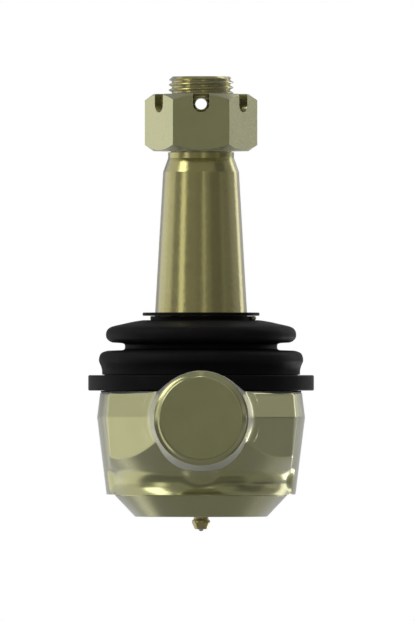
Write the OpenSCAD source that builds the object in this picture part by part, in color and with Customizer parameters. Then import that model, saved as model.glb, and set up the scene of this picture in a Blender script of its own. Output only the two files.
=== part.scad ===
// Heavy-truck tie rod end: a greaseable ball joint with a tapered stud and a threaded shank.
// The shank axis is Y and the stud axis is Z. They cross at the ball's centre.
// The origin lies on the shank axis at its first full thread. Sizes are in millimetres.

/* [Row frame] */
// distance from the origin to the ball's centre, along the shank
ball_y = 150; // [140:1:170]
// distance from the origin to the shank's end face
end_set = 2.4; // [2.2:0.1:3]

/* [Ball stud] */
// radius of the ball
ball_r = 19.05; // [19:0.05:19.1]
// height of the flat under the ball, below its centre
ball_flat = 17.5; // [16:0.5:18]
// radius of the neck above the ball
neck_r = 11.5; // [10:0.5:12]
// height where the neck starts to widen
neck_top_z = 24; // [20:0.5:25]
// height where the taper starts
taper_low_z = 33; // [32:0.5:33]
// radius at the taper's thick end
taper_low_r = 15.9; // [15.7:0.05:15.9]
// height where the taper ends
taper_top_z = 84; // [80:0.5:85]
// radius at the taper's thin end
taper_top_r = 13; // [12.5:0.1:13.5]
// radius of the plain land under the thread
land_r = 11.3; // [11.3:0.1:11.8]
// height where the plain land starts
land_z = 88.7; // [88:0.1:89]
// major radius of the stud's 7/8-14 thread
stud_thread_r = 11.1125; // [11.1:0.0125:11.1125]
// height of the stud's top
stud_top_z = 116.8; // [116:0.1:120]
// size of the chamfer on the stud's top
stud_chamfer = 1; // [0.5:0.1:1.5]
// radius of the cotter pin's hole
cotter_r = 1.985; // [1.6:0.005:2.4]
// distance of the cotter pin's hole below the stud's top
cotter_down = 9.6; // [8.8:0.1:10.2]

/* [Castle nut] */
// size across the nut's flats
nut_af = 33.34; // [32:0.01:36]
// height of the nut's lower face
nut_z = 91.1; // [91.1:0.1:91.5]
// thickness of the nut
nut_h = 19.5; // [18:0.5:20]
// radius of the round faces that the chamfers leave
nut_face_r = 16.1; // [15.5:0.1:16.6]
// angle of the chamfers from the faces, in degrees
nut_chamfer = 33; // [28:1:36]
// width of the slots
slot_w = 5.5; // [5:0.1:6.5]
// depth of the slots
slot_depth = 6.4; // [5:0.1:7.5]
// radial clearance between the nut's bore and the stud
nut_gap = 0.05; // [0.03:0.01:0.1]

/* [Forged housing] */
// radius of the round body at the parting line
body_r = 35.57; // [35:0.01:37]
// draft angle of the forging, above and below the parting line
draft = 7; // [5:0.5:8]
// height of the shoulder under the boot
shoulder_z = 8.4; // [8:0.1:8.4]
// depth of the lower shoulder, below the ball's centre
lower_z = 26.3; // [26:0.1:26.6]
// turn of the web's front facets away from the shank axis, in degrees
facet_turn = 48.4; // [46:0.2:52]
// distance of the web's front facets from the stud axis, at the parting line
facet_d = 39.15; // [38.8:0.05:39.8]
// half the width of the web at the parting line
web_half_w = 32.9; // [32.5:0.1:33.2]
// radius where the web's conical underside would meet the parting line
web_reach = 50.6; // [50:0.1:51.5]
// radius of the hollow under the web
hollow_round = 6.65; // [6.4:0.05:6.9]
// depth of the hollow's centre, below the ball's centre
hollow_z = 22.3; // [22:0.1:22.6]
// half the width of the hollow under the web
hollow_half_w = 30; // [29:0.5:30.5]
// half the width of the chin under the shank
chin_half_w = 7.9; // [7:0.1:9]
// half the width of the chin's crest
chin_crest_w = 2; // [1:0.1:3]
// radius where the chin's conical underside would meet the parting line
chin_reach = 54; // [53.5:0.1:54.5]
// radius of the hollow under the chin
chin_round = 3.8; // [3.6:0.05:4]
// depth of the centre of the chin's hollow, below the ball's centre
chin_z = 24; // [23.8:0.1:24.2]
// height of the neck's top
collar_top_z = 14.6; // [13.5:0.1:14.6]
// radius of the throat that the stud swings in
throat_r = 19; // [18.6:0.1:19.5]
// widening of the throat at its mouth
throat_flare = 2.5; // [2:0.1:3]
// outer and inner radius of the spun lip's root
lip_root_r = 29.4; // [29:0.1:30]
// outer radius of the spun lip's end
lip_end_r = 22.6; // [22:0.1:23]
// width of the lip along the radius
lip_w = 3.1; // [2.8:0.1:3.4]
// height of the step above the spun lip's root
lip_step = 0.4; // [0.3:0.1:0.5]
// depth of the lip's end, below the ball's centre
lip_end_z = 33.9; // [33:0.1:34.5]

/* [Threaded shank] */
// major radius of the shank's 1 1/4-12 thread
shank_thread_r = 15.875; // [15.85:0.025:15.875]
// length of the thread
shank_thread_len = 88; // [70:1:95]
// size of the chamfer on the shank's end
shank_chamfer = 2; // [1.5:0.1:2]
// radius of the plain shank behind the thread
shank_plain_r = 15.6; // [15:0.1:15.7]
// distance from the ball's centre to where the shank starts to widen
flare_start = 51.5; // [50:0.5:54]
// radius of the widening's curve
flare_round = 30; // [26:1:34]
// slope of the cone that the widening ends in, in degrees
flare_slope = 11; // [9:0.5:12]
// radius of the scoop between the shank's top and the boot
scoop_r = 40.3; // [40:0.1:41]
// radius of the curl at the scoop's edge
scoop_curl = 6; // [5:0.5:7]

/* [Bearings and cover] */
// clearance between the ball and the bearings
ball_gap = 0.05; // [0.03:0.01:0.08]
// clearance between the bearings and the bore
bearing_gap = 0.05; // [0.02:0.01:0.1]
// wall of the bearings beside the ball
bearing_wall = 5.2; // [4.6:0.1:5.4]
// wall of the upper bearing at its top edge
bearing_top_wall = 3.05; // [2.6:0.05:3.1]
// angle from the stud axis to the upper bearing's top edge
bearing_angle = 64; // [62:1:66]
// height where the upper bearing starts to narrow
bearing_turn_z = 2; // [1:0.5:3]
// height of the gap between the two bearings
bearing_split = 1.2; // [1:0.1:2]
// thickness of the seat under the ball
seat_floor = 3.4; // [3:0.1:3.5]
// radius of the grease hole in the seat
seat_hole_r = 4; // [3:0.5:5]
// thickness of the disc spring
spring_t = 1.5; // [1.2:0.1:1.8]
// height of the disc spring as fitted
spring_h = 3.9; // [3.8:0.1:4]
// radius of the hole in the disc spring
spring_in_r = 9; // [8:0.5:10]
// distance between the disc spring's edge and the bore
spring_side = 2.3; // [1.5:0.1:3]
// thickness of the cover plate
cover_t = 5; // [4:0.5:5.5]

/* [Grease fitting] */
// radius of the fitting's threaded shank
fitting_thread_r = 3.15; // [3.1:0.01:3.16]
// size across the fitting's flats
fitting_af = 7.14; // [7:0.01:7.5]
// height of the fitting's hexagon
fitting_hex_h = 2.2; // [2:0.1:2.5]
// length of the fitting's thread
fitting_thread_l = 4.2; // [3.8:0.1:4.4]
// radius of the fitting's head
fitting_head_r = 3.1; // [3:0.05:3.3]
// height of the fitting's head and its neck
fitting_head_h = 4.6; // [4.4:0.1:4.8]
// radius of the check ball
check_ball_r = 1.1; // [1:0.01:1.1]
// clearance round the check ball
check_ball_gap = 0.3; // [0.25:0.01:0.35]

/* [Boot] */
// outer radius of the upper fold
fold_top_r = 32.5; // [32:0.1:33]
// outer radius of the lower fold
fold_low_r = 34.9; // [34.5:0.1:35.2]
// outer radius of the waist between the folds
waist_r = 26.05; // [25.5:0.05:26.5]
// thickness of the rubber
rubber_t = 1.9; // [1.6:0.1:2]
// outer radius of the clamp ring
clamp_r = 38.6; // [38:0.1:39]
// width of the clamp ring's section
clamp_w = 5.4; // [5:0.1:5.5]
// chamfer on the clamp ring's outer edges
clamp_edge = 0.5; // [0.3:0.1:0.8]
// thickness of the rubber under the clamp ring
base_t = 2.35; // [2.1:0.05:2.6]
// clearance on each side of the rubber
boot_gap = 0.15; // [0.1:0.01:0.2]
// height of the clamp ring's lower face
clamp_z = 9.2; // [9.2:0.1:9.4]
// thickness of the clamp ring
clamp_h = 5.3; // [5:0.1:5.3]
// outer radius of the top washer
washer_r = 20; // [19:0.1:21]
// height of the top washer's lower face
washer_z = 34.8; // [34.8:0.1:35]
// thickness of the top washer
washer_h = 1.1; // [0.9:0.1:1.2]
// radius of the retaining ring's wire
wire_r = 0.7; // [0.6:0.05:0.7]
// radius of the retaining ring, to the wire's centre
wire_ring_r = 18.2; // [18.1:0.05:18.4]
// turn of the ring's visible end from the X axis, in degrees
wire_start = -12.5; // [-20:0.5:-5]
// length of the ring, in degrees
wire_sweep = 170; // [150:5:200]
// gap between the wire and the top washer
wire_gap = 0.1; // [0.05:0.01:0.15]

/* [Hidden] */
$fn = 96;
plated = [0.62, 0.60, 0.44];
bare = [0.55, 0.56, 0.58];
black = [0.07, 0.07, 0.08];
resin = [0.80, 0.78, 0.70];
eps = 0.01;
big = 200;
socket_r = ball_r + ball_gap;
cavity_r = socket_r + bearing_wall;
bearing_top_z = socket_r * cos(bearing_angle);
bearing_top_r = socket_r * sin(bearing_angle) + bearing_top_wall;
seat_bottom_z = socket_r + seat_floor;
cover_top_z = seat_bottom_z + spring_h;
lip_root_z = lower_z + lip_step;
lip_run = (lip_root_r - lip_end_r) / (lip_end_z - lip_root_z);
cover_root_r = lip_root_r - lip_w;
cover_face_z = cover_top_z + cover_t;
cover_face_r = cover_root_r - (cover_face_z - lip_root_z) * lip_run;
fitting_nose_z = cover_face_z + fitting_hex_h + fitting_head_h;
check_ball_z = 0.37 * check_ball_r - fitting_nose_z;
clamp_in_r = clamp_r - clamp_w;
collar_r = clamp_in_r - base_t - 1.67 * boot_gap;
cotter_z = stud_top_z - cotter_down;
shank_end = ball_y + end_set;
fall = tan(draft);
web_r = facet_d * 1.22;
thread_back = shank_end - shank_chamfer - shank_thread_len;

module at_ball() {
  translate([0, ball_y, 0]) children();
}

// Turns a profile about the shank axis, its height measured from the ball's centre.
module about_shank() {
  at_ball() rotate([90, 0, 0]) rotate_extrude() children();
}

// The round body with its draft both ways from the parting line.
module round_body() {
  rotate_extrude() polygon([[0, -lower_z], [body_r - lower_z * fall, -lower_z], [body_r, 0],
    [body_r - shoulder_z * fall, shoulder_z], [0, shoulder_z]]);
}

// What lies above a 45 degree cone that ends in a hollow arc, turned about the stud axis.
// The web's radius only cuts off its inside corner, which lies within the shank.
module undercut(reach, size, low) {
  centre_r = reach - low + size * sqrt(2);
  last = 180 + asin((lower_z - low) / size);
  arc = [for (i = [0 : 8]) let (a = 135 + (last - 135) * i / 8)
    [centre_r + size * cos(a), size * sin(a) - low]];
  rotate_extrude() polygon(concat([[0, shoulder_z], [web_r, shoulder_z], [web_r, web_r - reach]], arc,
    [[0, -lower_z]]));
}

// Everything behind a flat that faces away from the stud axis, drafted both ways.
module behind_flat(off) {
  up = shoulder_z + 1;
  down = lower_z + 1;
  half_w = 1.5 * web_r;
  rotate([90, 0, 0]) translate([0, 0, -half_w]) linear_extrude(2 * half_w)
    polygon([[-web_r, up], [off - up * fall, up], [off, 0], [off - down * fall, -down], [-web_r, -down]]);
}

// Everything in front of the stud axis and between two side faces, drafted both ways.
module in_front(half_w, slope) {
  up = shoulder_z + 1;
  down = lower_z + 1;
  rotate([90, 0, 0]) linear_extrude(web_r + 1)
    polygon([[up * slope - half_w, up], [half_w - up * slope, up], [half_w, 0],
      [half_w - down * slope, -down], [down * slope - half_w, -down], [-half_w, 0]]);
}

// The chin's crest and its two flanks, which run down the web's cone at 45 degrees.
module ridge() {
  crest = chin_reach / sqrt(2);
  foot = (sqrt(pow(web_reach - 15, 2) - pow(chin_half_w, 2)) + 15) / sqrt(2);
  rotate([225, 0, 0]) translate([0, 0, -big / 2]) linear_extrude(big)
    polygon([[-chin_half_w, 0], [-chin_half_w, foot], [-chin_crest_w, crest], [chin_crest_w, crest],
      [chin_half_w, foot], [chin_half_w, 0]]);
}

// The web: its underside, its two front facets and its two side faces, and the chin.
module web() {
  intersection() {
    undercut(web_reach, hollow_round, hollow_z);
    rotate([0, 0, -90 + facet_turn]) behind_flat(facet_d);
    rotate([0, 0, -90 - facet_turn]) behind_flat(facet_d);
    in_front(web_half_w, fall);
  }
  intersection() {
    undercut(chin_reach, chin_round, chin_z);
    ridge();
    in_front(chin_half_w, 0);
  }
}

// The round body, open where the hollow under the web is cut into it.
module forging() {
  difference() {
    round_body();
    translate([-hollow_half_w, -web_r, -lower_z - 1]) cube([2 * hollow_half_w, web_r, lower_z - 1]);
  }
  web();
}

// The shank: thread at its major size, plain part and widening, cut back under the boot.
module shank() {
  reach = flare_round * sin(flare_slope);
  root = body_r - 2.6;
  cone_r = shank_plain_r + flare_round * (1 - cos(flare_slope));
  root_r = cone_r + (flare_start - reach - root) * tan(flare_slope);
  flare = [for (i = [0 : 6]) let (a = flare_slope * (1 - i / 6))
    [shank_plain_r + flare_round * (1 - cos(a)), flare_start - flare_round * sin(a)]];
  difference() {
    about_shank() polygon(concat([[0, root], [root_r, root]], flare,
      [[shank_plain_r, thread_back], [shank_thread_r, thread_back],
       [shank_thread_r, shank_end - shank_chamfer],
       [shank_thread_r - shank_chamfer, shank_end], [0, shank_end]]));
    at_ball() rotate_extrude() union() {
      translate([0, shoulder_z]) square([scoop_r, big / 10]);
      translate([0, shoulder_z + scoop_curl]) square([scoop_r + scoop_curl, big / 10]);
      translate([scoop_r, shoulder_z + scoop_curl]) circle(scoop_curl);
    }
  }
}

// What is turned away inside the housing: throat, shoulder, bearing bore and cover seat.
module housing_bore() {
  mouth = throat_r + throat_flare;
  rotate_extrude() polygon([[0, collar_top_z + 1], [mouth + 0.3, collar_top_z + 1],
    [mouth, collar_top_z], [throat_r, collar_top_z - 3], [throat_r, bearing_top_z + 1.6],
    [bearing_top_r + bearing_gap, bearing_top_z], [cavity_r, bearing_turn_z],
    [cavity_r, -cover_top_z], [cover_root_r, -cover_top_z], [cover_root_r, -lip_root_z],
    [lip_end_r - lip_w, -lip_end_z], [lip_end_r - lip_w, -lip_end_z - 1], [0, -lip_end_z - 1]]);
}

module socket_housing() {
  color(plated) difference() {
    union() {
      at_ball() forging();
      at_ball() cylinder(h = collar_top_z, r = collar_r);
      shank();
      at_ball() rotate_extrude() polygon([[0, -lower_z], [lip_root_r, -lower_z],
        [lip_root_r, -lip_root_z], [lip_end_r, -lip_end_z], [0, -lip_end_z]]);
    }
    at_ball() housing_bore();
  }
}

module upper_bearing() {
  r = cavity_r - bearing_gap;
  low = 2 - bearing_split;
  color(resin) at_ball() difference() {
    rotate_extrude() polygon([[0, -low], [r, -low], [r, bearing_turn_z],
      [bearing_top_r, bearing_top_z], [0, bearing_top_z]]);
    sphere(socket_r);
  }
}

module lower_seat() {
  color(resin) at_ball() difference() {
    translate([0, 0, -seat_bottom_z]) cylinder(h = seat_bottom_z - 2, r = cavity_r - bearing_gap);
    sphere(socket_r);
    translate([0, 0, -seat_bottom_z - 1]) cylinder(h = seat_bottom_z, r = seat_hole_r);
  }
}

module preload_spring() {
  top = -seat_bottom_z;
  low = -cover_top_z;
  edge = cavity_r - spring_side;
  color(bare) at_ball() rotate_extrude() polygon([[spring_in_r, top], [edge, low + spring_t],
    [edge, low], [spring_in_r, top - spring_t]]);
}

module cover_plate() {
  edge = cover_root_r - bearing_gap;
  color(plated) at_ball() difference() {
    rotate_extrude() polygon([[0, -cover_top_z], [edge, -cover_top_z], [edge, -lip_root_z],
      [cover_face_r - bearing_gap, -cover_face_z], [0, -cover_face_z]]);
    translate([0, 0, -cover_face_z - 1]) cylinder(h = cover_t + 2, r = fitting_thread_r + 0.025);
  }
}

module grease_fitting() {
  z0 = -cover_face_z;
  z1 = z0 - fitting_hex_h;
  nose = -fitting_nose_z;
  h = fitting_head_h;
  room = check_ball_r + check_ball_gap;
  ledge = z1 + 0.24 * h;
  color(bare) at_ball() difference() {
    union() {
      translate([0, 0, z0]) cylinder(h = fitting_thread_l, r = fitting_thread_r);
      translate([0, 0, z1]) cylinder(h = fitting_hex_h, r = fitting_af / 2 / cos(30), $fn = 6);
      rotate_extrude() polygon([[0, z1 + eps], [0.81 * fitting_head_r, z1 + eps],
        [0.81 * fitting_head_r, z1 - 0.24 * h], [fitting_head_r, z1 - 0.37 * h],
        [fitting_head_r, z1 - 0.5 * h], [0.68 * fitting_head_r, nose], [0, nose]]);
    }
    rotate_extrude() polygon([[0, nose - 1], [0.963 * check_ball_r, nose - 1],
      [0.963 * check_ball_r, nose], [room, nose + 0.55 * check_ball_r], [room, ledge],
      [0.7 * room, ledge], [0.7 * room, z0 + fitting_thread_l + 1],
      [0, z0 + fitting_thread_l + 1]]);
  }
}

module grease_fitting_ball() {
  color(bare) at_ball() translate([0, 0, check_ball_z]) sphere(check_ball_r);
}

// A wire of nearly square section, wound in three turns.
module grease_fitting_spring() {
  low = check_ball_z + check_ball_r + 0.05;
  high = 0.24 * fitting_head_h - cover_face_z - fitting_hex_h - 0.05;
  r = check_ball_r;
  color(bare) at_ball() translate([0, 0, low]) linear_extrude(high - low, twist = -1080, slices = 36,
    $fn = 8) polygon([[0.77 * r, -0.68 * r], [0.77 * r, 0.68 * r], [0.95 * r, 0.68 * r],
      [0.95 * r, -0.68 * r]]);
}

module boot_clamp_ring() {
  c = clamp_edge;
  top = clamp_z + clamp_h;
  color(black) at_ball() rotate_extrude() polygon([[clamp_in_r, clamp_z], [clamp_r - c, clamp_z],
    [clamp_r, clamp_z + c], [clamp_r, top - c], [clamp_r - c, top], [clamp_in_r, top]]);
}

// Heights in the boot are shares of the way from the housing's shoulder to the top washer.
function boot_up(share) = shoulder_z + share * (washer_z - shoulder_z);

module dust_boot() {
  t = rubber_t;
  w = waist_r;
  f = fold_top_r;
  g = fold_low_r;
  top_in = taper_low_r + boot_gap;
  groove = wire_ring_r - wire_r - 0.2;
  foot = clamp_in_r - boot_gap * 0.67;
  neck = collar_r + boot_gap;
  top = washer_z - boot_gap;
  ring_low = clamp_z - boot_gap / 3;
  ring_top = clamp_z + clamp_h + boot_gap;
  outside = [[top_in, top], [groove, top], [groove, top - 1.9 * wire_r],
    [groove + 1.5 * t, boot_up(0.941)], [f - 3.05 * t, boot_up(0.894)],
    [f - 1.42 * t, boot_up(0.867)], [f - 0.63 * t, boot_up(0.845)], [f - 0.21 * t, boot_up(0.814)],
    [f, boot_up(0.777)], [f, boot_up(0.731)], [f - 0.21 * t, boot_up(0.697)],
    [f - 0.68 * t, boot_up(0.667)], [f - 1.16 * t, boot_up(0.652)], [w + 0.42 * t, boot_up(0.644)],
    [w, boot_up(0.625)], [w, boot_up(0.576)], [w + 0.42 * t, boot_up(0.557)],
    [g - 1.58 * t, boot_up(0.549)], [g - 0.74 * t, boot_up(0.53)], [g - 0.26 * t, boot_up(0.504)],
    [g, boot_up(0.458)], [g, boot_up(0.409)], [g - 0.32 * t, boot_up(0.352)],
    [g - 0.53 * t, boot_up(0.307)], [g - 0.53 * t, ring_top], [foot, ring_top], [foot, ring_low],
    [foot + 0.63 * t, ring_low], [foot + 0.63 * t, shoulder_z + boot_gap / 3]];
  inside = [[neck, shoulder_z + boot_gap / 3], [neck, boot_up(0.265)],
    [g - 1.53 * t, boot_up(0.326)], [g - t, boot_up(0.409)], [g - t, boot_up(0.455)],
    [g - 1.42 * t, boot_up(0.481)], [w - 0.68 * t, boot_up(0.485)], [w - t, boot_up(0.53)],
    [w - t, boot_up(0.674)], [w - 0.68 * t, boot_up(0.716)], [f - 1.32 * t, boot_up(0.72)],
    [f - t, boot_up(0.742)], [f - t, boot_up(0.773)], [f - 1.53 * t, boot_up(0.799)],
    [f - 3.26 * t, boot_up(0.822)], [top_in + 2.1 * t, boot_up(0.864)],
    [top_in, boot_up(0.864)]];
  color(black) at_ball() rotate_extrude() polygon(concat(outside, inside));
}

module boot_top_washer() {
  in_r = taper_low_r + 0.1;
  color(black) at_ball() translate([0, 0, washer_z]) difference() {
    cylinder(h = washer_h, r = washer_r);
    translate([0, 0, -1]) cylinder(h = washer_h + 2, r = in_r);
  }
}

// A split wire ring, with its open side towards the shank.
module boot_wire_ring() {
  color(plated) at_ball() translate([0, 0, washer_z - wire_gap - wire_r])
    rotate([0, 0, wire_start]) rotate_extrude(angle = wire_sweep)
      translate([wire_ring_r, 0]) circle(wire_r);
}

module ball_stud() {
  spread = taper_low_r - neck_r;
  widen = taper_low_z - neck_top_z;
  color(plated) at_ball() difference() {
    union() {
      intersection() {
        sphere(ball_r);
        translate([-big / 2, -big / 2, -ball_flat]) cube(big);
      }
      rotate_extrude() polygon([[0, 0], [neck_r, 0], [neck_r, neck_top_z],
        [neck_r + 0.16 * spread, neck_top_z + 0.27 * widen],
        [neck_r + 0.48 * spread, neck_top_z + 0.49 * widen],
        [taper_low_r, neck_top_z + 0.71 * widen],
        [taper_low_r, taper_low_z], [taper_top_r, taper_top_z],
        [land_r, land_z], [land_r, nut_z - 0.3], [stud_thread_r, nut_z - 0.3],
        [stud_thread_r, stud_top_z - stud_chamfer], [stud_thread_r - stud_chamfer, stud_top_z],
        [0, stud_top_z]]);
    }
    translate([0, ball_r, cotter_z]) rotate([90, 0, 0]) cylinder(h = 2 * ball_r, r = cotter_r);
  }
}

module castle_nut() {
  corner_r = nut_af / 2 / cos(30);
  fall = (corner_r - nut_face_r) * tan(nut_chamfer);
  bore_r = stud_thread_r + nut_gap;
  top = nut_z + nut_h;
  floor_z = top - slot_depth + slot_w / 2;
  color(plated) at_ball() difference() {
    intersection() {
      translate([0, 0, nut_z]) cylinder(h = nut_h, r = corner_r, $fn = 6);
      rotate_extrude() polygon([[0, nut_z], [nut_face_r, nut_z], [corner_r + eps, nut_z + fall],
        [corner_r + eps, top - fall], [nut_face_r, top], [0, top]]);
    }
    translate([0, 0, nut_z - 1]) cylinder(h = nut_h + 2, r = bore_r);
    for (turn = [0, 60, 120]) rotate([0, 0, turn]) {
      translate([-slot_w / 2, -nut_af, floor_z]) cube([slot_w, 2 * nut_af, nut_h]);
      translate([0, nut_af, floor_z]) rotate([90, 0, 0]) cylinder(h = 2 * nut_af, r = slot_w / 2);
    }
  }
}

socket_housing();
upper_bearing();
lower_seat();
preload_spring();
cover_plate();
grease_fitting();
grease_fitting_ball();
grease_fitting_spring();
boot_clamp_ring();
dust_boot();
boot_top_washer();
boot_wire_ring();
ball_stud();
castle_nut();
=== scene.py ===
import math

import bmesh
import bpy
import numpy as np
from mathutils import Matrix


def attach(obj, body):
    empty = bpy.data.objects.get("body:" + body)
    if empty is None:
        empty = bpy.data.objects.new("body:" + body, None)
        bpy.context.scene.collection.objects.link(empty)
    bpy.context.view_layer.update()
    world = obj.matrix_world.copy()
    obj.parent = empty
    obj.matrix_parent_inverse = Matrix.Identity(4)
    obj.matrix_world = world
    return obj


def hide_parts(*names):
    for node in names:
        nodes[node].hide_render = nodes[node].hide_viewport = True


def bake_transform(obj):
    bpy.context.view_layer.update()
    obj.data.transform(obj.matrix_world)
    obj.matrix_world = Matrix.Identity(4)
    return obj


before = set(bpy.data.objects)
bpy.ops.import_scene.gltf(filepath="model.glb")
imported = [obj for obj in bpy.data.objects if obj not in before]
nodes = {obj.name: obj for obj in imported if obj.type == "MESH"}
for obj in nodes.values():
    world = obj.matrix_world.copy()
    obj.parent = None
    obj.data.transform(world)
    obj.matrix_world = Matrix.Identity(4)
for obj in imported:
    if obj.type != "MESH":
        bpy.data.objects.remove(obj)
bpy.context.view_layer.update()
print("frame loaded:", len(nodes), "nodes")

# Every size below is in millimetres from the ball's centre: x right, y back, z up the stud.
# The ball's centre lies 150 mm behind the model's origin.
ballCentre = np.array((0.0, 150.0, 0.0))


def toMetres(points):
    return (np.asarray(points, float) + ballCentre) * 0.001


# Turns a grid of points (rows, columns, 3) into a closed mesh: each cell is one four-sided face,
# rows and columns may join up with the first one, and points that coincide are welded.
def surface(name, grid, closeRows=False, closeColumns=True, sharp=32, weld=4e-7, thinnest=2e-7):
    rows, columns = grid.shape[:2]
    index = np.arange(rows * columns).reshape(rows, columns)
    if closeRows:
        index = np.vstack((index, index[:1]))
    if closeColumns:
        index = np.hstack((index, index[:, :1]))
    quads = np.stack((index[:-1, :-1], index[:-1, 1:], index[1:, 1:], index[1:, :-1]), axis=-1)
    mesh = bpy.data.meshes.new(name)
    mesh.from_pydata(toMetres(grid.reshape(-1, 3)).tolist(), [], quads.reshape(-1, 4).tolist())
    shape = bmesh.new()
    shape.from_mesh(mesh)
    bmesh.ops.remove_doubles(shape, verts=shape.verts, dist=weld)
    bmesh.ops.dissolve_degenerate(shape, dist=thinnest, edges=shape.edges)
    bmesh.ops.recalc_face_normals(shape, faces=shape.faces)
    shape.to_mesh(mesh)
    shape.free()
    mesh.shade_smooth()
    mesh.set_sharp_from_angle(angle=math.radians(sharp))
    piece = bpy.data.objects.new(name, mesh)
    bpy.context.scene.collection.objects.link(piece)
    return piece


# Rounds the corners of an outline. Each corner is (radius from the axis, height, rounding), and each
# rounding is an arc that touches both of its sides and takes up at most a share of each, with one
# more point beside each of its ends.
def rounded(corners, steps=5, hold=0.12, closed=False, most=0.46):
    made = []
    count = len(corners)
    for number, (across, up, size) in enumerate(corners):
        here = np.array((across, up))
        if size == 0 or (not closed and number in (0, count - 1)):
            made.append(here)
            continue
        first = np.array(corners[number - 1][:2]) - here
        last = np.array(corners[(number + 1) % count][:2]) - here
        firstLong = np.linalg.norm(first)
        lastLong = np.linalg.norm(last)
        first = first / firstLong
        last = last / lastLong
        half = math.acos(np.clip(first @ last, -1, 1)) / 2
        back = min(size / math.tan(half), most * firstLong, most * lastLong)
        size = back * math.tan(half)
        middle = first + last
        centre = here + middle / np.linalg.norm(middle) * size / math.sin(half)
        start = here + first * back - centre
        finish = here + last * back - centre
        turn = math.pi - 2 * half
        if 0.5 * firstLong > back + hold:
            made.append(here + first * (back + hold))
        for step in range(steps + 1):
            share = step / steps
            mixed = start * math.sin((1 - share) * turn) + finish * math.sin(share * turn)
            made.append(centre + mixed / math.sin(turn))
        if 0.5 * lastLong > back + hold:
            made.append(here + last * (back + hold))
    return np.array(made)


# A smooth curve through the given points, each stretch a cubic set by its neighbours.
def throughPoints(points, steps=4):
    points = np.asarray(points, float)
    padded = np.vstack((2 * points[0] - points[1], points, 2 * points[-1] - points[-2]))
    made = []
    for number in range(len(points) - 1):
        a, b, c, d = padded[number:number + 4]
        for share in np.arange(steps) / steps:
            made.append(0.5 * (2 * b + (c - a) * share + (2 * a - 5 * b + 4 * c - d) * share ** 2
                               + (3 * b - a - 3 * c + d) * share ** 3))
    made.append(points[-1])
    return np.array(made)


# Rows of two values, each a number or one value for every column, as two whole arrays.
def spread(rows, turn):
    return np.array([[value + 0 * turn for value in row] for row in rows]).transpose(1, 0, 2)


# Rows of (radius, height) as points round the stud's axis: x = radius * cos(turn),
# y = radius * sin(turn), z = height.
def roundGrid(rows, turn):
    reach, height = spread(rows, turn)
    return np.stack((reach * np.cos(turn), reach * np.sin(turn), height), axis=-1)


# A closed profile of (radius, height) turned once about the stud's axis.
def turned(name, profile, columns, sharp=32):
    turn = np.arange(columns) * 2 * math.pi / columns
    return surface(name, roundGrid(profile, turn), closeRows=True, sharp=sharp)


def smoothStep(low, high, value):
    share = np.clip((value - low) / (high - low), 0, 1)
    return share * share * (3 - 2 * share)


# The smaller of two values, rounded off where they cross.
def softMin(a, b, size):
    near = np.clip(size - np.abs(a - b), 0, None) / size
    return np.minimum(a, b) - near * near * size / 4


# The distance of a hexagon's side from its axis at an azimuth, with a corner at 0.
def hexagonReach(flats, turn):
    return flats / 2 / np.cos(turn % (math.pi / 3) - math.pi / 6)


# The height of a cut thread over its root, from 0 to 1, at a place along one pitch: flat root,
# straight flank, flat crest, straight flank.
def threadShape(place, flanks=0.62, rootShare=0.36):
    place = place % 1.0
    return np.clip((0.5 - np.abs(place - 0.5)) * 2 / flanks - rootShare, 0, 1)


# Places along a thread, counted in pitches: ten to a pitch, closer where its shape turns.
def threadPlaces(length, pitch):
    knots = np.array((0, 0.09, 0.17, 0.27, 0.40, 0.5, 0.60, 0.73, 0.83, 0.91))
    return (np.arange(int(length / pitch) + 3)[:, None] + knots).ravel()


# Puts the mesh that a piece's modifiers give in place of its own.
def applyModifiers(piece):
    bpy.context.view_layer.update()
    seen = piece.evaluated_get(bpy.context.evaluated_depsgraph_get())
    mesh = bpy.data.meshes.new_from_object(seen)
    piece.modifiers.clear()
    piece.data = mesh


print("materials")


def linear(code):
    values = [int(code[i:i + 2], 16) / 255 for i in (1, 3, 5)]
    return [v / 12.92 if v <= 0.04045 else ((v + 0.055) / 1.055) ** 2.4 for v in values]


def addNode(tree, kind, inputs=None, **settings):
    node = tree.nodes.new(kind)
    for key, value in settings.items():
        setattr(node, key, value)
    for key, value in (inputs or {}).items():
        if isinstance(value, bpy.types.NodeSocket):
            tree.links.new(value, node.inputs[key])
        else:
            node.inputs[key].default_value = value
    return node


def newMaterial(name):
    material = bpy.data.materials.new(name)
    material.use_nodes = True
    tree = material.node_tree
    tree.nodes.clear()
    output = addNode(tree, "ShaderNodeOutputMaterial")
    shader = addNode(tree, "ShaderNodeBsdfPrincipled")
    tree.links.new(shader.outputs[0], output.inputs["Surface"])
    return material, tree, shader


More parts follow.
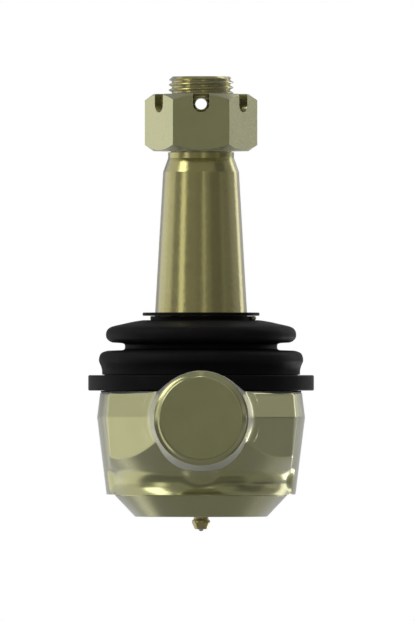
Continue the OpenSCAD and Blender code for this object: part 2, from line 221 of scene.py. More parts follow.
# Steel with a yellow-olive zinc plating under a thin clear film. The plating's tone drifts a little,
# its grain is a fine bump, and a slight bloom greys it at a slant. Sizes are in millimetres.
def platedSteel(name, tone, darker, rough=0.18, grain=0.45, grainDepth=0.015, film=1.0, bloom=0.9,
                patch=9.0):
    material, tree, shader = newMaterial(name)
    place = addNode(tree, "ShaderNodeTexCoord").outputs["Object"]
    drift = addNode(tree, "ShaderNodeTexNoise", {"Vector": place, "Scale": 1000 / patch, "Detail": 4.0})
    speck = addNode(tree, "ShaderNodeTexNoise", {"Vector": place, "Scale": 1000 / grain, "Detail": 3.0})
    both = addNode(tree, "ShaderNodeMath", {0: drift.outputs["Fac"], 1: speck.outputs["Fac"]},
                   operation="ADD")
    share = addNode(tree, "ShaderNodeMapRange", {"Value": both.outputs[0], "From Min": 0.75,
                                                 "From Max": 1.25})
    colour = addNode(tree, "ShaderNodeMix", {0: share.outputs[0], 6: linear(darker) + [1],
                                             7: linear(tone) + [1]}, data_type="RGBA")
    gloss = addNode(tree, "ShaderNodeMapRange", {"Value": both.outputs[0], "From Min": 0.6,
                                                 "From Max": 1.4, "To Min": rough - 0.03,
                                                 "To Max": rough + 0.05})
    bump = addNode(tree, "ShaderNodeBump", {"Strength": 1.0, "Distance": grainDepth * 0.001,
                                            "Height": speck.outputs["Fac"]})
    tree.links.new(colour.outputs[2], shader.inputs["Base Color"])
    tree.links.new(gloss.outputs[0], shader.inputs["Roughness"])
    tree.links.new(bump.outputs[0], shader.inputs["Normal"])
    shader.inputs["Metallic"].default_value = 1.0
    shader.inputs["Coat Weight"].default_value = film
    shader.inputs["Coat Roughness"].default_value = rough
    shader.inputs["Coat IOR"].default_value = 2.1
    shader.inputs["Sheen Weight"].default_value = bloom
    shader.inputs["Sheen Roughness"].default_value = 0.5
    return material


# A dull surface with a cloudy mottle between two tones and a fine grain.
def mottled(name, tone, pale, rough, specular):
    material, tree, shader = newMaterial(name)
    place = addNode(tree, "ShaderNodeTexCoord").outputs["Object"]
    cloud = addNode(tree, "ShaderNodeTexNoise", {"Vector": place, "Scale": 140.0, "Detail": 5.0})
    fine = addNode(tree, "ShaderNodeTexNoise", {"Vector": place, "Scale": 2600.0, "Detail": 2.0})
    share = addNode(tree, "ShaderNodeMapRange", {"Value": cloud.outputs["Fac"], "From Min": 0.45,
                                                 "From Max": 0.75})
    colour = addNode(tree, "ShaderNodeMix", {0: share.outputs[0], 6: linear(tone) + [1],
                                             7: linear(pale) + [1]}, data_type="RGBA")
    gloss = addNode(tree, "ShaderNodeMapRange", {"Value": cloud.outputs["Fac"], "From Min": 0.3,
                                                 "From Max": 0.7, "To Min": rough - 0.06,
                                                 "To Max": rough + 0.06})
    bump = addNode(tree, "ShaderNodeBump", {"Strength": 0.6, "Distance": 0.00001,
                                            "Height": fine.outputs["Fac"]})
    tree.links.new(colour.outputs[2], shader.inputs["Base Color"])
    tree.links.new(gloss.outputs[0], shader.inputs["Roughness"])
    tree.links.new(bump.outputs[0], shader.inputs["Normal"])
    shader.inputs["Specular IOR Level"].default_value = specular
    return material


# Bare steel with an even ground or rolled surface and no plating.
def bareSteel(name, tone, darker, rough):
    return platedSteel(name, tone, darker, rough=rough, grain=0.3, grainDepth=0.004, film=0.0, bloom=0.0)


forgingSteel = platedSteel("platedForging", "#BAB96F", "#B2B165")
studSteel = platedSteel("platedStud", "#B9B052", "#AFA646", grain=1.3, grainDepth=0.06)
nutSteel = platedSteel("platedNut", "#BAB96F", "#B2B167", rough=0.2)
plateSteel = platedSteel("platedPlate", "#BAB96F", "#ACAB60", rough=0.22)
fittingSteel = platedSteel("platedFitting", "#BAA84E", "#A99840", grain=0.25)
wireSteel = platedSteel("platedWire", "#B5A65C", "#A4954C", rough=0.22, grain=0.3)
ballSteel = bareSteel("polishedBallSteel", "#D2D3D6", "#C4C5C8", 0.08)
springSteel = bareSteel("oiledSpringSteel", "#8C8F94", "#74777C", 0.3)
# Steel with a thin black coat: smoother than the rubber, and reflecting even less.
ringSteel = mottled("blackenedSteel", "#1A1A1B", "#1F1F20", 0.38, 0.05)
# Moulded black rubber.
bootRubber = mottled("mouldedRubber", "#1A1A1B", "#1F1F20", 0.5, 0.07)
# Moulded acetal: pale, with a soft gloss and faint flow marks.
bearingResin = mottled("mouldedAcetal", "#E4DFCB", "#EFEBDB", 0.4, 0.07)


def finishPiece(piece, material, body, slotName, *replaced):
    piece.data.materials.clear()
    piece.data.materials.append(material)
    if body:
        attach(piece, body)
    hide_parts(*replaced)
    return piece


print("housing")
# Angles are in degrees. A fall is a draft: how much a wall comes in for each millimetre of height.
bodySize = dict(radius=35.57, fall=0.1228, shoulder=8.4, edge=0.3, bottom=26.3)
webSize = dict(facetTurn=48.4, facetOff=39.15, sideOff=32.9, sideFall=0.115, top=8.9, edge=1.5,
               bend=2.8, bendMore=3.2, bendDepth=12, corner=47.5, cornerRound=2.0, underRound=0.5)
hollowSize = dict(cone=51.1, coneLow=-17.6, arcUp=-22.3, arc=6.65, cutLow=-17.5, runOutFrom=66.0,
                  runOutTo=76.0)
chinSize = dict(slope=54.0, slopeLow=-21.3, arcUp=-24.0, arc=3.8, arcOff=35.4, flat=0.5, half=8.3,
                off=34.5)
boreSize = dict(lip=33.9, lipMouth=22.6, lipEdge=19.5, wall=29.4, seat=26.3, seatUp=26.4, seatLow=26.7,
                bore=24.3, boreTop=2, throat=19, throatTop=11.6, collar=30.6, collarTop=14.6)


# The underside of the web, as a distance from the stud's axis at an azimuth and a height: a 45 degree
# cone that runs into a hollow arc, and the chin, which stands out from it as a smooth ridge.
def underReach(turn, up):
    h = hollowSize
    centre = h["cone"] + h["arcUp"] + h["arc"] * math.sqrt(2)
    cone = np.where(up > h["coneLow"], h["cone"] + up,
                    centre - np.sqrt(np.clip(h["arc"] ** 2 - (up - h["arcUp"]) ** 2, 0, None)))
    c = chinSize
    chin = np.where(up > c["slopeLow"], c["slope"] + up,
                    c["arcOff"] - np.sqrt(np.clip(c["arc"] ** 2 - (up - c["arcUp"]) ** 2, 0, None)))
    inChin = 1 - smoothStep(c["flat"], c["half"], c["off"] * np.abs(np.sin(turn)))
    return cone + (chin - cone) * inChin


# The distance of the web's front outline from the stud's axis, at an azimuth from the shank's side
# and a height: two drafted facets and two drafted side faces, with an arc between each pair, all cut
# away from below. The azimuth is held off the places where a face's distance has no end.
def webReach(turn, up):
    w = webSize
    facet = math.radians(w["facetTurn"])
    depth = np.abs(up)
    turn = np.abs(turn)
    wall = w["facetOff"] - bodySize["fall"] * depth
    side = w["sideOff"] - w["sideFall"] * depth
    bend = w["bend"] + w["bendMore"] * np.clip(1 - depth / w["bendDepth"], 0, 1)
    centreX = side - bend
    centreY = (wall - bend - centreX * math.sin(facet)) / math.cos(facet)
    along = centreX * np.sin(turn) + centreY * np.cos(turn)
    arc = along + np.sqrt(np.clip(bend ** 2 - centreX ** 2 - centreY ** 2 + along ** 2, 0, None))
    facetEnd = np.arctan2(centreX + bend * math.sin(facet), centreY + bend * math.cos(facet))
    sideStart = np.arctan2(side, centreY)
    flat = wall / np.cos(np.clip(turn - facet, -1.4, 1.4))
    sideways = side / np.sin(np.clip(turn, 0.2, 1.5))
    reach = np.where(turn < facetEnd, flat, np.where(turn < sideStart, arc, sideways))
    reach = softMin(reach, w["corner"], w["cornerRound"])
    return softMin(reach, underReach(turn, up), w["underRound"])


# The housing's outer distance: the drafted round body, and the web where it stands further out. The
# hollow under the web cuts a little into the round body and runs out at its sides. There is no web
# beyond 1.45 radians from the shank's side.
def housingReach(turn, up):
    h = hollowSize
    plain = bodySize["radius"] - bodySize["fall"] * np.abs(up)
    web = np.where(np.abs(turn) > 1.45, 0, webReach(turn, up))
    cut = np.where(up < h["cutLow"], np.clip(plain - underReach(turn, up), 0, None), 0)
    first, last = np.radians((h["runOutFrom"], h["runOutTo"]))
    return np.maximum(plain - cut * (1 - smoothStep(first, last, np.abs(turn))), web)


# One grid: the columns go round the stud's axis, closely spaced on the web, and the rows go down
# the outside, round the lip, up the bore and out over the collar, back to the first row.
# x = reach * sin(turn), y = -reach * cos(turn), z = height.
def makeHousing():
    s = bodySize
    closeTo = 76
    front = np.radians(np.arange(-closeTo, closeTo + 0.01, 0.5))
    rear = np.radians(np.linspace(closeTo, 360 - closeTo, 85)[1:-1])
    turn = np.concatenate((front, np.where(rear > math.pi, rear - 2 * math.pi, rear)))
    level = turn * 0
    top = s["shoulder"]
    low = -s["bottom"]
    # The web's own top edge begins where its outline leaves the round body's.
    onWeb = smoothStep(0.3, 1.2, housingReach(turn, level + top) - s["radius"] + s["fall"] * top)
    onWeb = onWeb * (np.abs(turn) < math.pi / 2)
    edgeTop = top + (webSize["top"] - top) * onWeb
    edgeRound = s["edge"] + (webSize["edge"] - s["edge"]) * onWeb
    edge = housingReach(turn, edgeTop - edgeRound) - edgeRound
    rows = [(30.7, top), (33.6, top), (np.maximum(edge * 0.5 + 17.3, 34.0), edgeTop * 0.9 + top * 0.1),
            (np.maximum(edge - 0.15, 34.1), edgeTop)]
    for angle in np.radians(np.linspace(90, 0, 9)):
        height = edgeTop - edgeRound * (1 - math.sin(angle))
        rows.append((housingReach(turn, height) - edgeRound * (1 - math.cos(angle)), height))
    for share in np.linspace(1, 0, 14)[1:]:
        height = (edgeTop - edgeRound) * share
        rows.append((housingReach(turn, height), height))
    for first, last, count in ((0, -4.5, 14), (-4.5, -15, 54), (-15, low + 0.12, 44)):
        for height in np.linspace(first, last, count)[1:]:
            rows.append((housingReach(turn, level + height), height))
    foot = housingReach(turn, level + low)
    rows += [(foot - 0.04, low + 0.04), (foot - 0.12, low), (foot - 0.4, low)]
    b = boreSize
    rows += list(rounded(
        [(32.0, low, 0), (b["wall"], low, 0.15), (b["wall"], -b["seatLow"], 0.2),
         (b["lipMouth"], -b["lip"], 0.5), (b["lipEdge"], -b["lip"], 0.3), (b["seat"], -b["seatLow"], 0),
         (b["seat"], -b["seatUp"], 0), (b["bore"], -b["seatUp"], 0), (b["bore"], b["boreTop"], 0.3),
         (20.22, 8.37, 0), (b["throat"], 9.97, 0.2), (b["throat"], b["throatTop"], 0.8),
         (21.5, b["collarTop"], 0.3), (b["collar"], b["collarTop"], 0.4), (b["collar"], top, 0.2),
         (32, top, 0)], steps=3)[1:-1])
    reach, height = spread(rows, turn)
    grid = np.stack((reach * np.sin(turn), -reach * np.cos(turn), height), axis=-1)
    return surface("housingBody", grid, closeRows=True)


finishPiece(makeHousing(), forgingSteel, "socket", "plated_forging", "socket_housing")

# Distances along the shank are from the stud's axis.
shankSize = dict(end=152.4, disc=13.85, edge=0.72, major=15.875, root=14.58, pitch=2.117, plain=15.6,
                 threadBack=62.4, flareFrom=51.5, flareRound=30.0, slope=0.194, innerEnd=31.0,
                 lidUp=8.38, lidTo=40.3, curl=6.0)
swellSize = dict(round=1.2, most=2.1, inset=0.03, to=48, lowFrom=-9.0, lowTo=-7.6, topFrom=8.6,
                 topTo=9.6)


# Where the shank's sides run into the web's facets it swells to meet them in a hollow curve. There is
# no swelling above the web's top or below the arc under the facets.
def swellToFacets(distance, turn, radius):
    w = swellSize
    facet = math.radians(webSize["facetTurn"])
    up = radius * np.sin(turn)
    wall = webSize["facetOff"] - bodySize["fall"] * np.abs(up)
    across = (wall - distance * math.cos(facet)) / math.sin(facet)
    reach = across / np.clip(np.abs(np.cos(turn)), 0.5, 1) - w["inset"]
    swollen = np.minimum(-softMin(-radius, -reach, w["round"]), radius + w["most"])
    inside = smoothStep(w["lowFrom"], w["lowTo"], up) * (1 - smoothStep(w["topFrom"], w["topTo"], up))
    return radius + (swollen - radius) * (inside * (distance < w["to"]))


# The shank is turned about its own axis: x = radius * cos(turn), y = -distance,
# z = radius * sin(turn). Its thread follows a helix: each column starts a little further along, so
# the last column meets the first one a full pitch on. Its top is cut away round the boot by a hollow
# that curls up at its edge.
def makeShank():
    s = shankSize
    turn = np.linspace(0, 2 * math.pi, 121)
    lead = s["pitch"] * turn / (2 * math.pi)
    places = threadPlaces(s["end"] - s["threadBack"], s["pitch"]) * s["pitch"]
    start = s["end"] + s["pitch"] - places[:, None]
    edgeBack = s["edge"] * (1 - math.cos(math.pi / 4))
    distance = np.clip(start - lead, s["threadBack"], s["end"] - edgeBack)
    wave = threadShape(start / s["pitch"] + 0 * distance)
    fade = smoothStep(s["threadBack"], s["threadBack"] + 2 * s["pitch"], distance)
    crest = s["plain"] + (s["major"] - s["plain"]) * fade
    radius = crest - (s["major"] - s["root"]) * fade * (1 - wave)
    radius = np.minimum(radius, s["disc"] + (s["end"] - distance))
    thread = list(zip(distance, radius))
    faceEnd = s["disc"] - s["edge"] * math.tan(math.pi / 8)
    face = [(s["end"], value) for value in (0, 5, 12, faceEnd - 0.1)]
    for angle in np.radians(np.arange(0, 45, 9)):
        face.append((s["end"] - s["edge"] * (1 - math.cos(angle)), faceEnd + s["edge"] * math.sin(angle)))
    back = [(place, s["plain"]) for place in np.linspace(s["threadBack"] - 0.3, s["flareFrom"], 10)]
    bendLong = s["flareRound"] * math.sin(math.atan(s["slope"]))
    for share in np.arange(1, 9) / 8:
        step = bendLong * share
        rise = s["flareRound"] - math.sqrt(s["flareRound"] ** 2 - step ** 2)
        back.append((s["flareFrom"] - step, s["plain"] + rise))
    coneFrom = s["flareFrom"] - bendLong
    coneRadius = back[-1][1]
    for place in np.linspace(coneFrom, s["innerEnd"], 34)[1:]:
        back.append((place, coneRadius + s["slope"] * (coneFrom - place)))
    back += [(s["innerEnd"], 8), (s["innerEnd"], 0)]
    distance, radius = spread(face + thread + back, turn)
    radius = swellToFacets(distance, turn, radius)
    x = radius * np.cos(turn)
    away = np.sqrt(x ** 2 + distance ** 2) - s["lidTo"]
    curled = s["lidUp"] + s["curl"] - np.sqrt(np.clip(s["curl"] ** 2 - away ** 2, 0, None))
    lid = np.where(away < 0, s["lidUp"], np.where(away < s["curl"], curled, np.inf))
    up = np.minimum(radius * np.sin(turn), lid)
    return surface("housingShank", np.stack((x, -distance, up), axis=-1), closeColumns=False)


finishPiece(makeShank(), forgingSteel, "socket", "plated_forging", "socket_housing")

print("stud")
studSize = dict(ball=19.05, ballFlat=17.5, neck=11.5, taperLow=15.9, taperTop=13.0, land=11.3,
                major=11.11, root=10.0, pitch=1.814, threadLow=90.8, threadDrop=0.61, runOut=0.4,
                top=116.6, tip=9.86, hole=1.985, holeUp=107.2)


# The stud is turned about its axis: ball with its flat, neck, taper, land, and a helical thread whose
# columns each start a little further up.
def makeStud():
    s = studSize
    turn = np.linspace(0, 2 * math.pi, 121)
    lead = s["pitch"] * turn / (2 * math.pi)
    rows = [(value, -s["ballFlat"]) for value in (0, 3, 7.3)]
    ballLow = math.asin(-s["ballFlat"] / s["ball"])
    ballHigh = math.acos(s["neck"] / s["ball"])
    for angle in np.linspace(ballLow, ballHigh, 48):
        rows.append((s["ball"] * math.cos(angle), s["ball"] * math.sin(angle)))
    rows += list(rounded(
        [(s["neck"], 15.3, 0), (s["neck"], 24.0, 4), (s["taperLow"], 31.0, 3.5),
         (s["taperLow"], 33.0, 1.2), (s["taperTop"], 84.0, 0.6), (s["land"], 88.7, 0.6),
         (s["land"], 90.65, 0.1), (s["root"] + s["runOut"], s["threadLow"], 0)], steps=6)[1:])
    phase = threadPlaces(s["top"] - s["threadLow"], s["pitch"])
    places = phase * s["pitch"] + s["threadLow"] - s["pitch"] - s["threadDrop"]
    height = np.clip(places[:, None] + lead, s["threadLow"], s["top"])
    wave = threadShape(phase[:, None] + 0 * height)
    fade = smoothStep(s["threadLow"], s["threadLow"] + s["pitch"], height)
    radius = s["root"] + s["runOut"] * (1 - fade) + (s["major"] - s["root"]) * wave * fade
    radius = np.minimum(radius, s["tip"] + (s["top"] - height))
    rows += list(zip(radius, height))
    rows += [(value, s["top"]) for value in (s["tip"] - 0.15, 5, 0)]
    return surface("ballStud", roundGrid(rows, turn), closeColumns=False)


# Cuts one piece's shape out of another with a boolean, whose result is applied.
def cutOut(piece, cutter):
    cut = piece.modifiers.new("cut", "BOOLEAN")
    cut.operation = "DIFFERENCE"
    cut.solver = "EXACT"
    cut.object = cutter
    applyModifiers(piece)
    bpy.data.objects.remove(cutter)


# A straight bar through the stud's axis, level, at an azimuth from +X: an outline of (across, height)
# carried from one end to the other, with both ends closed.
def crossBar(outline, heading, half):
    outline = np.asarray(outline, float)
    middle = np.broadcast_to(outline.mean(axis=0), outline.shape)
    across, height = np.moveaxis(np.array((middle, outline, outline, middle)), -1, 0)
    along = np.array((-half, -half, half, half))[:, None]
    angle = math.radians(heading)
    grid = np.stack((along * math.cos(angle) - across * math.sin(angle),
                     along * math.sin(angle) + across * math.cos(angle), height), axis=-1)
    return surface("crossBar", grid)


stud = makeStud()
ring = np.radians(np.arange(40) * 9)
cutOut(stud, crossBar(np.stack((studSize["hole"] * np.cos(ring),
                                studSize["holeUp"] + studSize["hole"] * np.sin(ring)), axis=-1), 90, half=16))
stud.data.set_sharp_from_angle(angle=math.radians(32))
finishPiece(stud, studSteel, "stud", "plated_stud", "ball_stud")


# Rounds a piece's sharp edges with a bevel, whose result is applied. Flat faces are made whole first.
def softenEdges(piece, width, segments=2, angle=24):
    shape = bmesh.new()
    shape.from_mesh(piece.data)
    bmesh.ops.remove_doubles(shape, verts=shape.verts, dist=2e-6)
    bmesh.ops.dissolve_limit(shape, angle_limit=math.radians(0.2), verts=shape.verts,
                             edges=shape.edges)
    shape.to_mesh(piece.data)
    shape.free()
    bevel = piece.modifiers.new("softEdges", "BEVEL")
    bevel.width = width * 0.001
    bevel.segments = segments
    bevel.limit_method = "ANGLE"
    bevel.angle_limit = math.radians(angle)
    bevel.use_clamp_overlap = True
    weighted = piece.modifiers.new("flatFaces", "WEIGHTED_NORMAL")
    weighted.weight = 90
    piece.data.shade_smooth()
    applyModifiers(piece)


print("nut")
nutSize = dict(flats=33.34, low=91.1, top=110.6, face=16.3, chamfer=0.71, bore=11.16, boreEdge=0.4,
               slot=5.5, deep=6.4, edge=0.18)


# The nut goes round the stud's axis: its side is a hexagon, and a cone at each end takes off the
# corners. Six slots, open at the top, are then cut across the flats.
def makeNut():
    s = nutSize
    turn = np.radians(np.arange(0, 360, 1.5))
    side = hexagonReach(s["flats"], turn)
    inside = np.minimum(side, s["face"])
    drop = (side - inside) * s["chamfer"]
    edge = s["boreEdge"]
    rows = [(s["bore"] + edge, s["low"]), (inside, s["low"]), (side, s["low"] + drop),
            (side, s["top"] - drop), (inside, s["top"]), (s["bore"] + edge, s["top"]),
            (s["bore"], s["top"] - edge), (s["bore"], s["low"] + edge)]
    piece = surface("castleNut", roundGrid(rows, turn), closeRows=True)
    half = s["slot"] / 2
    under = np.radians(np.linspace(180, 360, 17))
    outline = [(half * math.cos(a), s["top"] - s["deep"] + half + half * math.sin(a)) for a in under]
    outline += [(half, s["top"] + 3), (-half, s["top"] + 3)]
    for heading in (30, 90, 150):
        cutOut(piece, crossBar(outline, heading, half=22))
    return piece


nut = makeNut()
softenEdges(nut, nutSize["edge"])
finishPiece(nut, nutSteel, "nut", "plated_nut", "castle_nut")

print("boot")
# The boot's profile, as (radius, height): the outside from the neck down over both folds to the foot,
# and the inside back up to the lip round the stud.
bootOuter = np.vstack((
    [(17.3, 33.35)],
    throughPoints([(18.0, 33.3), (20.2, 33.25), (23.6, 32.7), (26.7, 32.0), (29.8, 31.3), (31.3, 30.7),
                   (32.1, 29.9), (32.5, 28.9), (32.5, 27.7), (32.1, 26.8), (31.2, 26.0),
                   (30.2, 25.62)]),
    throughPoints([(27.2, 25.45), (26.3, 25.15), (26.05, 24.6), (26.05, 23.9), (26.3, 23.3),
                   (27.0, 23.05)]),
    throughPoints([(31.9, 22.88), (33.5, 22.4), (34.4, 21.7), (34.85, 20.5), (34.9, 19.2),
                   (34.3, 17.7), (33.95, 16.5), (33.85, 15.3), (33.85, 14.75)]),
    [(33.7, 14.65), (33.1, 14.65), (33.1, 14.5), (33.1, 11.8), (33.1, 9.3), (33.12, 9.15),
     (34.15, 9.13), (34.3, 9.0), (34.3, 8.6), (34.15, 8.45)]))
bootInner = np.vstack((
    [(30.75, 8.45), (30.75, 8.6), (30.75, 11.5)],
    throughPoints([(30.75, 14.9), (31.3, 15.9), (32.0, 17.0), (32.9, 18.9), (33.0, 20.3), (32.2, 21.0),
                   (30.6, 21.15)]),
    throughPoints([(26.0, 21.2), (24.6, 21.5), (24.15, 22.4), (24.15, 24.3), (24.15, 26.2),
                   (24.6, 27.2), (25.8, 27.4)]),
    throughPoints([(29.0, 27.4), (30.2, 27.5), (30.6, 28.0), (30.5, 28.8), (29.6, 29.5), (26.3, 30.1),
                   (20.04, 31.1), (17.0, 31.2)]),
    [(16.3, 31.2), (16.05, 31.4), (16.05, 34.4), (16.2, 34.65), (17.15, 34.65), (17.3, 34.5)]))
boot = turned("dustBoot", np.vstack((bootOuter, bootInner)), 200, sharp=40)
finishPiece(boot, bootRubber, None, "boot_rubber", "dust_boot")
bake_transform(boot)


# A ring of rectangular section, its edges rounded inside and outside.
def makeRing(name, size, columns):
    inner, outer, low, high, innerEdge, outerEdge = size.values()
    corners = [(inner, low, innerEdge), (outer, low, outerEdge), (outer, high, outerEdge),
               (inner, high, innerEdge)]
    return turned(name, rounded(corners, closed=True), columns)


clampSize = dict(inner=33.22, outer=38.6, low=9.2, high=14.5, innerEdge=0.3, outerEdge=0.5)
clampRing = makeRing("bootClampRing", clampSize, 180)
finishPiece(clampRing, ringSteel, "socket", "blackened_steel", "boot_clamp_ring")

washerSize = dict(inner=16.0, outer=20.0, low=34.8, high=35.9, innerEdge=0.15, outerEdge=0.3)
topWasher = makeRing("bootTopWasher", washerSize, 160)
finishPiece(topWasher, ringSteel, "boot_collar", "blackened_steel", "boot_top_washer")

wireSize = dict(wire=0.7, ring=18.2, height=34.0, start=-12.5, sweep=170.0, end=0.18)


# The wire ring: a round section carried along an arc. At its two cut ends the section grows from
# nothing, and its first places are given as shares of the rounded end's length.
def makeWireRing():
    s = wireSize
    endTurn = math.degrees(s["end"] / s["ring"])
    endSizes = (0, 0.55, 0.82, 0.95)
    places = np.radians(s["start"] + endTurn * np.array((0, 0, 0.05, 0.12)))
    middle = np.radians(np.linspace(s["start"] + endTurn, s["start"] + s["sweep"] - endTurn, 80))
    ends = math.radians(2 * s["start"] + s["sweep"]) - places[::-1]
    turn = np.concatenate((places, middle, ends))[:, None]
    size = s["wire"] * np.concatenate((endSizes, np.ones(80), endSizes[::-1]))[:, None]
    section = np.arange(16) * 2 * math.pi / 16
    across = s["ring"] + size * np.cos(section)
    up = s["height"] + size * np.sin(section)
    return surface("bootWireRing", np.stack((across * np.cos(turn), across * np.sin(turn), up), axis=-1))


finishPiece(makeWireRing(), wireSteel, "boot_collar", "plated_wire", "boot_wire_ring")

print("fitting")
fittingSize = dict(flats=7.14, thread=3.1, low=-27.25, hexTop=-31.42, hexLow=-33.6, neck=2.5, head=3.1,
                   nose=-38.2, mouth=1.06, cavity=1.4, cavityTop=-32.5, bore=0.98)


# One grid round the fitting's axis, from its threaded end down to its nose and up its bore. The
# hexagon's distance follows six flats with their corners turned off, and the other rows are round.
def makeFitting():
    s = fittingSize
    turn = np.arange(96) * 2 * math.pi / 96
    hexagon = hexagonReach(s["flats"], turn + math.pi / 6)
    rows = [(1.0, s["low"]), (2.9, s["low"]), (s["thread"], -27.5), (s["thread"], -31.3)]
    for cap, height in ((3.6, s["hexTop"]), (3.75, -31.45), (4.2, -31.72), (4.2, -33.3), (3.75, -33.55),
                        (3.6, s["hexLow"])):
        rows.append((np.minimum(hexagon, cap), height))
    rows += list(rounded(
        [(3.55, s["hexLow"], 0), (s["neck"], -33.62, 0.1), (s["neck"], -34.7, 0.3),
         (s["head"], -35.3, 0.2), (s["head"], -35.95, 0.25), (2.1, s["nose"], 0.25),
         (s["mouth"], s["nose"], 0.1), (s["cavity"], -37.6, 0), (s["cavity"], s["cavityTop"], 0),
         (s["bore"], s["cavityTop"], 0), (s["bore"], -27.3, 0)], steps=3, hold=0.05))
    return surface("greaseFitting", roundGrid(rows, turn), closeRows=True)


finishPiece(makeFitting(), fittingSteel, "socket", "plated_fitting", "grease_fitting")

springSize = dict(wire=0.11, ring=0.93, low=-36.64, high=-32.55, coils=5)


# The fitting's spring: a round wire whose centre climbs a helix, its ends run out to a point.
def makeFittingSpring():
    s = springSize
    share = np.linspace(0, 1, s["coils"] * 24 + 1)[:, None]
    turn = share * s["coils"] * 2 * math.pi
    size = s["wire"] * np.clip(np.minimum(share, 1 - share) * 60, 0, 1)
    low = s["low"] + s["wire"]
    centre = low + (s["high"] - s["wire"] - low) * share
    section = np.arange(8) * 2 * math.pi / 8
    across = s["ring"] + size * np.cos(section)
    up = centre + size * np.sin(section)
    return surface("fittingSpring", np.stack((across * np.cos(turn), across * np.sin(turn), up), axis=-1))


fittingSpring = finishPiece(makeFittingSpring(), springSteel, None, "spring_steel",
                            "grease_fitting_spring")
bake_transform(fittingSpring)

# These inner pieces keep the mesh of their node, with a material of their own.
for name, material in (("upper_bearing", bearingResin), ("lower_seat", bearingResin),
                       ("preload_spring", springSteel), ("cover_plate", plateSteel),
                       ("grease_fitting_ball", ballSteel)):
    mesh = nodes[name].data
    mesh.materials.clear()
    mesh.materials.append(material)
    mesh.shade_smooth()
    mesh.set_sharp_from_angle(angle=math.radians(34))

print("stage")
# Sizes here are in metres.
stageSize = dict(height=-0.074, middle=0.1, half=0.2, fadeFrom=0.12, fadeTo=0.19, glow=0.6)
floorMesh = bpy.data.meshes.new("floor")
low, middle, half = stageSize["height"], stageSize["middle"], stageSize["half"]
corners = [(x * half, middle + y * half, low) for x, y in ((-1, -1), (1, -1), (1, 1), (-1, 1))]
floorMesh.from_pydata(corners, [], [(0, 1, 2, 3)])
floor = bpy.data.objects.new("floor", floorMesh)
bpy.context.scene.collection.objects.link(floor)

# A pale matt floor that carries the object's shadow. For the camera it glows up to white, and towards
# its edge it thins out into the backdrop. It is clear from below, and the metal reflects the studio
# through it.
floorPaint = bpy.data.materials.new("mattFloor")
floorPaint.use_nodes = True
tree = floorPaint.node_tree
tree.nodes.clear()
output = addNode(tree, "ShaderNodeOutputMaterial")
rays = addNode(tree, "ShaderNodeLightPath")
place = addNode(tree, "ShaderNodeTexCoord").outputs["Object"]
fromMiddle = addNode(tree, "ShaderNodeVectorMath", {0: place, 1: (0, middle, low)}, operation="DISTANCE")
fade = addNode(tree, "ShaderNodeMapRange", {"Value": fromMiddle.outputs["Value"],
                                            "From Min": stageSize["fadeFrom"],
                                            "From Max": stageSize["fadeTo"]},
               interpolation_type="SMOOTHSTEP")
mirrored = addNode(tree, "ShaderNodeMath", {0: rays.outputs["Is Glossy Ray"],
                                            1: rays.outputs["Is Transmission Ray"]}, operation="MAXIMUM")
below = addNode(tree, "ShaderNodeNewGeometry").outputs["Backfacing"]
unseen = addNode(tree, "ShaderNodeMath", {0: mirrored.outputs[0], 1: below}, operation="MAXIMUM")
clear = addNode(tree, "ShaderNodeMath", {0: unseen.outputs[0], 1: fade.outputs[0]},
                operation="MAXIMUM")
glowLevel = addNode(tree, "ShaderNodeMath", {0: rays.outputs["Is Camera Ray"], 1: stageSize["glow"]},
                    operation="MULTIPLY")
diffuse = addNode(tree, "ShaderNodeBsdfDiffuse", {"Color": (0.8, 0.8, 0.8, 1)})
glow = addNode(tree, "ShaderNodeEmission", {"Color": (1, 1, 1, 1), "Strength": glowLevel.outputs[0]})
lit = addNode(tree, "ShaderNodeAddShader", {0: diffuse.outputs[0], 1: glow.outputs[0]})
through = addNode(tree, "ShaderNodeBsdfTransparent")
mix = addNode(tree, "ShaderNodeMixShader", {0: clear.outputs[0], 1: lit.outputs[0],
                                            2: through.outputs[0]})
tree.links.new(mix.outputs[0], output.inputs["Surface"])
floorMesh.materials.append(floorPaint)

# The studio: a dim grey room with soft strips of light, each given by its azimuth from the shank's
# side and its height above the horizon in degrees, the softness of its edge, and its level. The
# patches that take light away are given in the same way.
lampTable = dict(
    leftWall=(-141, -84, -49, 7, 12, 0.58),
    leftTop=(-142, -84, 9, 50, 8, 0.40),
    leftSide=(-134, -106, -14, 14, 10, 0.12),
    leftBack=(-200, -148, -50, 2, 10, 0.17),
    keyBox=(-80, -53, 22, 60, 8, 2.60),
    keyStrip=(-60, -45, -3, 18, 5, 0.85),
    frontStrip=(4, 12, -8, 30, 3, 0.34),
    frontHigh=(-16, 2, 58, 88, 6, 2.4),
    rightFacet=(90, 114, 3, 18, 6, 0.14),
    rightSide=(108, 150, -50, -5, 12, 0.13),
    rightBack=(121, 136, 1.5, 55, 4, 1.60),
    rightLow=(127, 153, -23, -8, 4, 2.60),
    backRight=(134, 156, 3, 50, 8, 0.45),
    backWall=(150, 200, -50, 30, 14, 0.14),
)
darkTable = dict(
    front=(-12, 10, -12, 12, 6, -0.045),
    frontRight=(26, 58, -10, 20, 12, -0.10),
    highRight=(48, 88, 12, 44, 12, -0.14),
    frontLow=(-88, 60, -40, -4, 8, -0.11),
    sideRight=(66, 112, -20, 2, 8, -0.04),
    rightMiddle=(66, 102, -4, 4, 4, -0.16),
)
world = bpy.data.worlds.new("studio")
bpy.context.scene.world = world
world.use_nodes = True
tree = world.node_tree
tree.nodes.clear()
direction = addNode(tree, "ShaderNodeTexCoord").outputs["Generated"]
axes = addNode(tree, "ShaderNodeSeparateXYZ", {0: direction})


def compute(kind, *values):
    return addNode(tree, "ShaderNodeMath", dict(enumerate(values)), operation=kind).outputs[0]


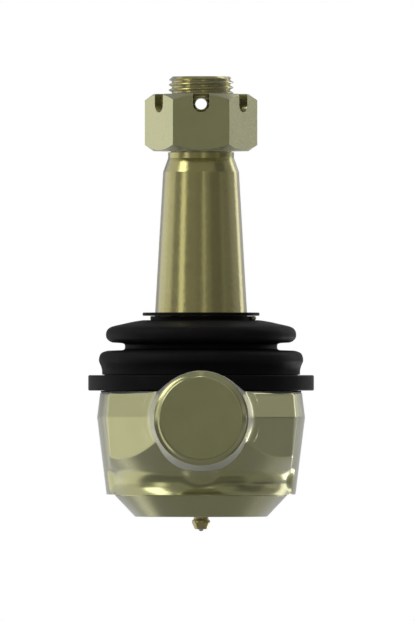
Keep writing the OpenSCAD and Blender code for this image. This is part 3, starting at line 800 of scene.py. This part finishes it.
def window(value, low, high, soft):
    rise = addNode(tree, "ShaderNodeMapRange", {"Value": value, "From Min": low - soft / 2,
                                                "From Max": low + soft / 2},
                   interpolation_type="SMOOTHSTEP").outputs[0]
    fall = addNode(tree, "ShaderNodeMapRange", {"Value": value, "From Min": high - soft / 2,
                                                "From Max": high + soft / 2, "To Min": 1.0,
                                                "To Max": 0.0},
                   interpolation_type="SMOOTHSTEP").outputs[0]
    return compute("MULTIPLY", rise, fall)


toFront = compute("MULTIPLY", axes.outputs["Y"], -1.0)
azimuth = compute("MULTIPLY", compute("ARCTAN2", axes.outputs["X"], toFront), 180 / math.pi)
elevation = compute("MULTIPLY", compute("ARCSINE", axes.outputs["Z"]), 180 / math.pi)
# The room is a little darker low down.
level = addNode(tree, "ShaderNodeMapRange", {"Value": elevation, "From Min": -60.0, "From Max": -20.0,
                                             "To Min": 0.20, "To Max": 0.26}).outputs[0]
for first, last, low, high, soft, strength in (*lampTable.values(), *darkTable.values()):
    part = compute("MULTIPLY", window(azimuth, first, last, soft), window(elevation, low, high, soft))
    level = compute("MULTIPLY_ADD", part, strength, level)
rays = addNode(tree, "ShaderNodeLightPath")
# The white backdrop stands behind the object: the camera sees it everywhere, and what the metal
# reflects or lets through sees it straight behind.
behind = addNode(tree, "ShaderNodeMapRange", {"Value": axes.outputs["Y"], "From Min": 0.97,
                                              "From Max": 0.995}).outputs[0]
reflected = compute("MULTIPLY", compute("MAXIMUM", rays.outputs["Is Glossy Ray"],
                                        rays.outputs["Is Transmission Ray"]), behind)
white = compute("MAXIMUM", rays.outputs["Is Camera Ray"], reflected)
studio = addNode(tree, "ShaderNodeBackground", {"Color": (1, 1, 1, 1), "Strength": level})
backdrop = addNode(tree, "ShaderNodeBackground", {"Color": (1, 1, 1, 1), "Strength": 1.0})
mix = addNode(tree, "ShaderNodeMixShader", {0: white, 1: studio.outputs[0], 2: backdrop.outputs[0]})
addNode(tree, "ShaderNodeOutputWorld", {"Surface": mix.outputs[0]})

# A long lens far in front of the shank, just above its axis, so that the view is nearly without
# perspective and the shank's end lies in the middle of its flare, as in the photograph.
viewSize = dict(away=6.49, fieldHigh=0.2124, middleX=0.0022, middleZ=0.0366, height=0.012)
cameraData = bpy.data.cameras.new("camera")
cameraData.sensor_width = 36
cameraData.lens = cameraData.sensor_width * viewSize["away"] / viewSize["fieldHigh"]
cameraData.shift_x = viewSize["middleX"] / viewSize["fieldHigh"]
cameraData.shift_y = (viewSize["middleZ"] - viewSize["height"]) / viewSize["fieldHigh"]
cameraData.clip_end = 30
camera = bpy.data.objects.new("camera", cameraData)
camera.location = (0, 0.150 - viewSize["away"], viewSize["height"])
camera.rotation_euler = (math.pi / 2, 0, 0)
bpy.context.scene.collection.objects.link(camera)
bpy.context.scene.camera = camera
bpy.context.scene.view_settings.view_transform = "Standard"

print("done")
